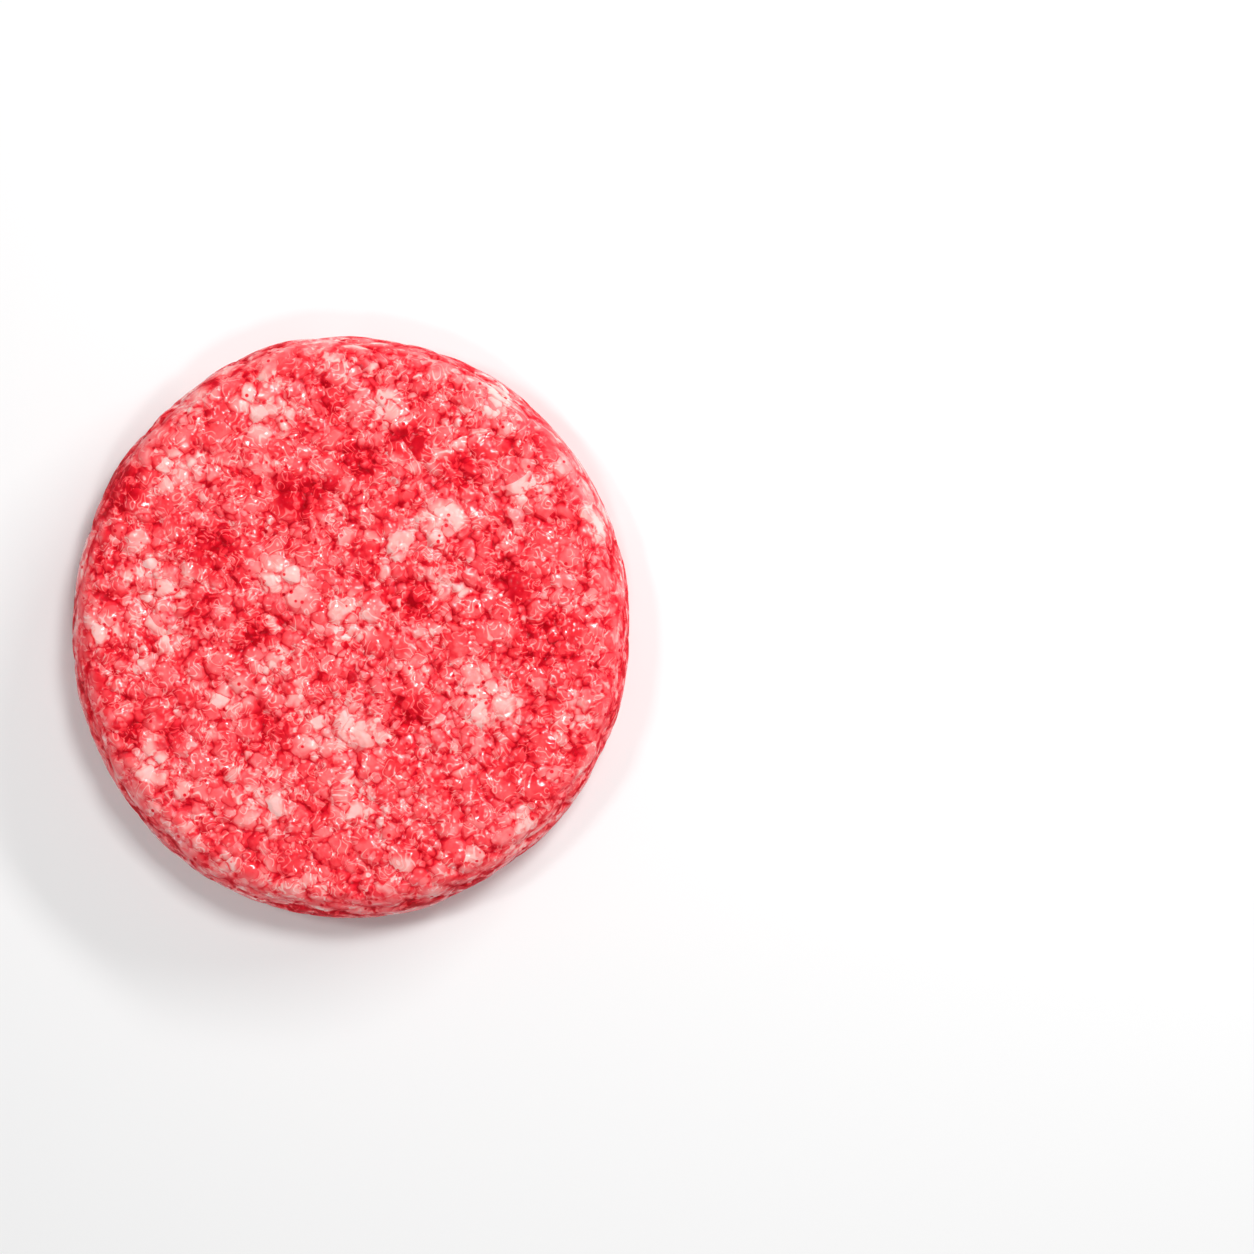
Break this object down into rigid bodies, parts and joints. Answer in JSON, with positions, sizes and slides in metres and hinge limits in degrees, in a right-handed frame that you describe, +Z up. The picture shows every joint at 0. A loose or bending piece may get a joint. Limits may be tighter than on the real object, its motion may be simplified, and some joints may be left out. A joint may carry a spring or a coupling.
{
  "type": "beef burger patty",
  "caption": "Raw beef burger patty, a thick slightly oval disc of coarse pressed mince with rounded edges, lying flat.",
  "frame": {"origin": "middle of the flat underside, below the middle of the oval", "axes": "+Z up through the thickness, +Y along the longer way of the oval, +X along its shorter way"},
  "size_m": [0.1095, 0.1143, 0.0179],
  "materials": {
    "raw_mince": "wet raw minced beef, red lean grains mottled with pink and cream fat, soft and moist, with small bright highlights"
  },
  "bodies": {
    "root": {"patty": "raw_mince"}
  },
  "joints": []
}
